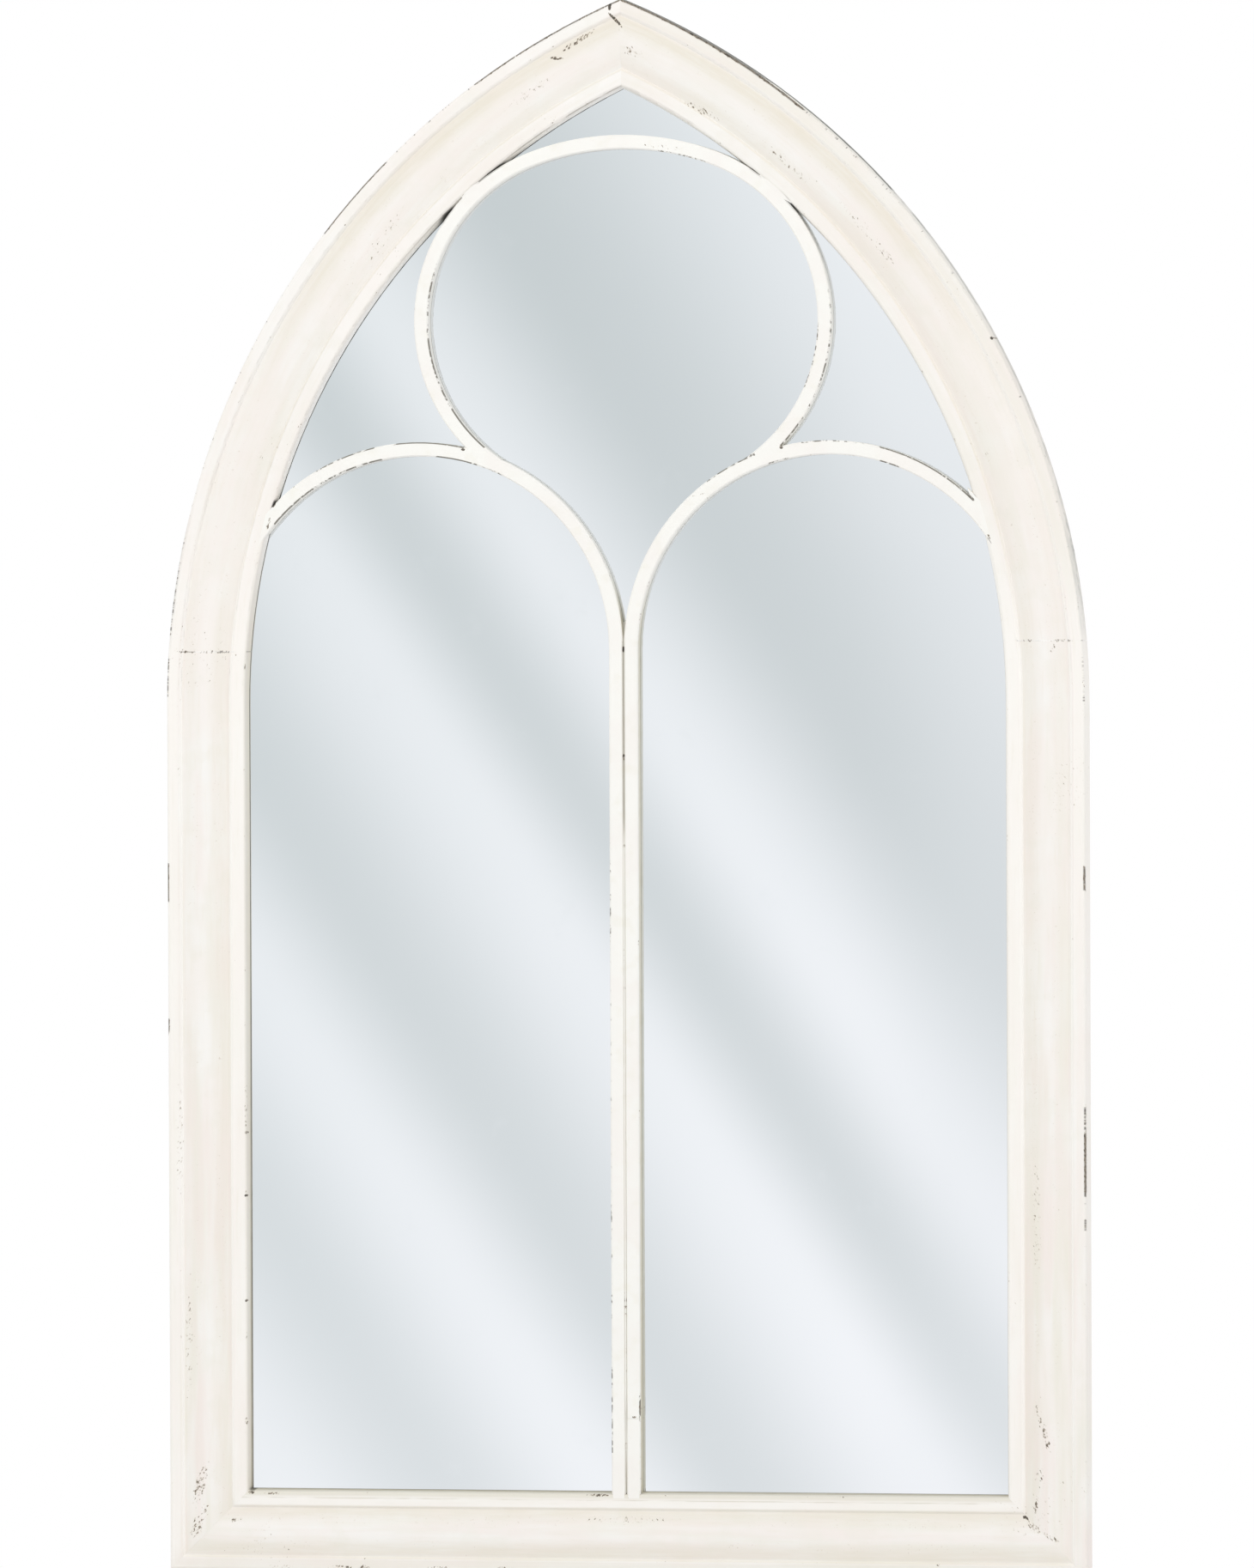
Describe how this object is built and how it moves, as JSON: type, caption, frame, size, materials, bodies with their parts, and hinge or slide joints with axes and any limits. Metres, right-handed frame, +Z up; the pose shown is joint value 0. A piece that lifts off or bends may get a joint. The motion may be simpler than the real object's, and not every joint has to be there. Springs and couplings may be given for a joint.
{
  "type": "wall mirror",
  "caption": "Pointed-arch wall mirror with a distressed ivory sheet-metal moulding and window tracery bars over one mirror pane.",
  "frame": {"origin": "midway between the entry holes of the two keyhole hangers, in the plane of the frame's back", "axes": "+Z up to the apex, +Y from the mirror's back into the wall, -Y towards the viewer, +X to the viewer's right"},
  "size_m": [0.66, 0.03, 1.116],
  "materials": {
    "frame_paint": "distressed ivory paint, worn through to dark metal along edges and seams",
    "tracery_paint": "distressed ivory paint with brown-grey worn edges",
    "mirror": "silvered float glass",
    "board": "brown hardboard",
    "plate_steel": "grey primer",
    "fitting_steel": "zinc plated",
    "felt": "dark felt"
  },
  "bodies": {
    "frame": {"left_stile": "frame_paint", "right_stile": "frame_paint", "left_arch": "frame_paint", "right_arch": "frame_paint", "bottom_rail": "frame_paint", "left_light_bar": "tracery_paint", "right_light_bar": "tracery_paint", "right_bar_foot": "tracery_paint", "ring_bar": "tracery_paint", "left_corner_plate": "plate_steel", "right_corner_plate": "plate_steel", "left_seam_plate": "plate_steel", "right_seam_plate": "plate_steel", "apex_plate": "plate_steel", "left_hanger": "fitting_steel", "right_hanger": "fitting_steel", "clip_bosses": "fitting_steel", "clip_screws": "fitting_steel", "mirror_glass": "mirror", "backing_board": "board", "wall_pads": "felt"},
    "turn_clip_bottom_left": {"turn_clip_bottom_left": "fitting_steel"},
    "turn_clip_bottom_right": {"turn_clip_bottom_right": "fitting_steel"},
    "turn_clip_left_arch": {"turn_clip_left_arch": "fitting_steel"},
    "turn_clip_left_high": {"turn_clip_left_high": "fitting_steel"},
    "turn_clip_left_low": {"turn_clip_left_low": "fitting_steel"},
    "turn_clip_right_arch": {"turn_clip_right_arch": "fitting_steel"},
    "turn_clip_right_high": {"turn_clip_right_high": "fitting_steel"},
    "turn_clip_right_low": {"turn_clip_right_low": "fitting_steel"}
  },
  "joints": [
    {"name": "turn_clip_bottom_left_swivel", "type": "hinge", "parent": "frame", "child": "turn_clip_bottom_left", "pos_m": [-0.15, -0.00615, -0.5453], "axis": [0, 1, 0], "continuous": true},
    {"name": "turn_clip_bottom_right_swivel", "type": "hinge", "parent": "frame", "child": "turn_clip_bottom_right", "pos_m": [0.15, -0.00615, -0.5453], "axis": [0, 1, 0], "continuous": true},
    {"name": "turn_clip_left_arch_swivel", "type": "hinge", "parent": "frame", "child": "turn_clip_left_arch", "pos_m": [-0.20695, -0.00615, 0.30127], "axis": [0, 1, 0], "continuous": true},
    {"name": "turn_clip_left_high_swivel", "type": "hinge", "parent": "frame", "child": "turn_clip_left_high", "pos_m": [-0.2873, -0.00615, -0.118], "axis": [0, 1, 0], "continuous": true},
    {"name": "turn_clip_left_low_swivel", "type": "hinge", "parent": "frame", "child": "turn_clip_left_low", "pos_m": [-0.2873, -0.00615, -0.428], "axis": [0, 1, 0], "continuous": true},
    {"name": "turn_clip_right_arch_swivel", "type": "hinge", "parent": "frame", "child": "turn_clip_right_arch", "pos_m": [0.20695, -0.00615, 0.30127], "axis": [0, 1, 0], "continuous": true},
    {"name": "turn_clip_right_high_swivel", "type": "hinge", "parent": "frame", "child": "turn_clip_right_high", "pos_m": [0.2873, -0.00615, -0.118], "axis": [0, 1, 0], "continuous": true},
    {"name": "turn_clip_right_low_swivel", "type": "hinge", "parent": "frame", "child": "turn_clip_right_low", "pos_m": [0.2873, -0.00615, -0.428], "axis": [0, 1, 0], "continuous": true}
  ]
}
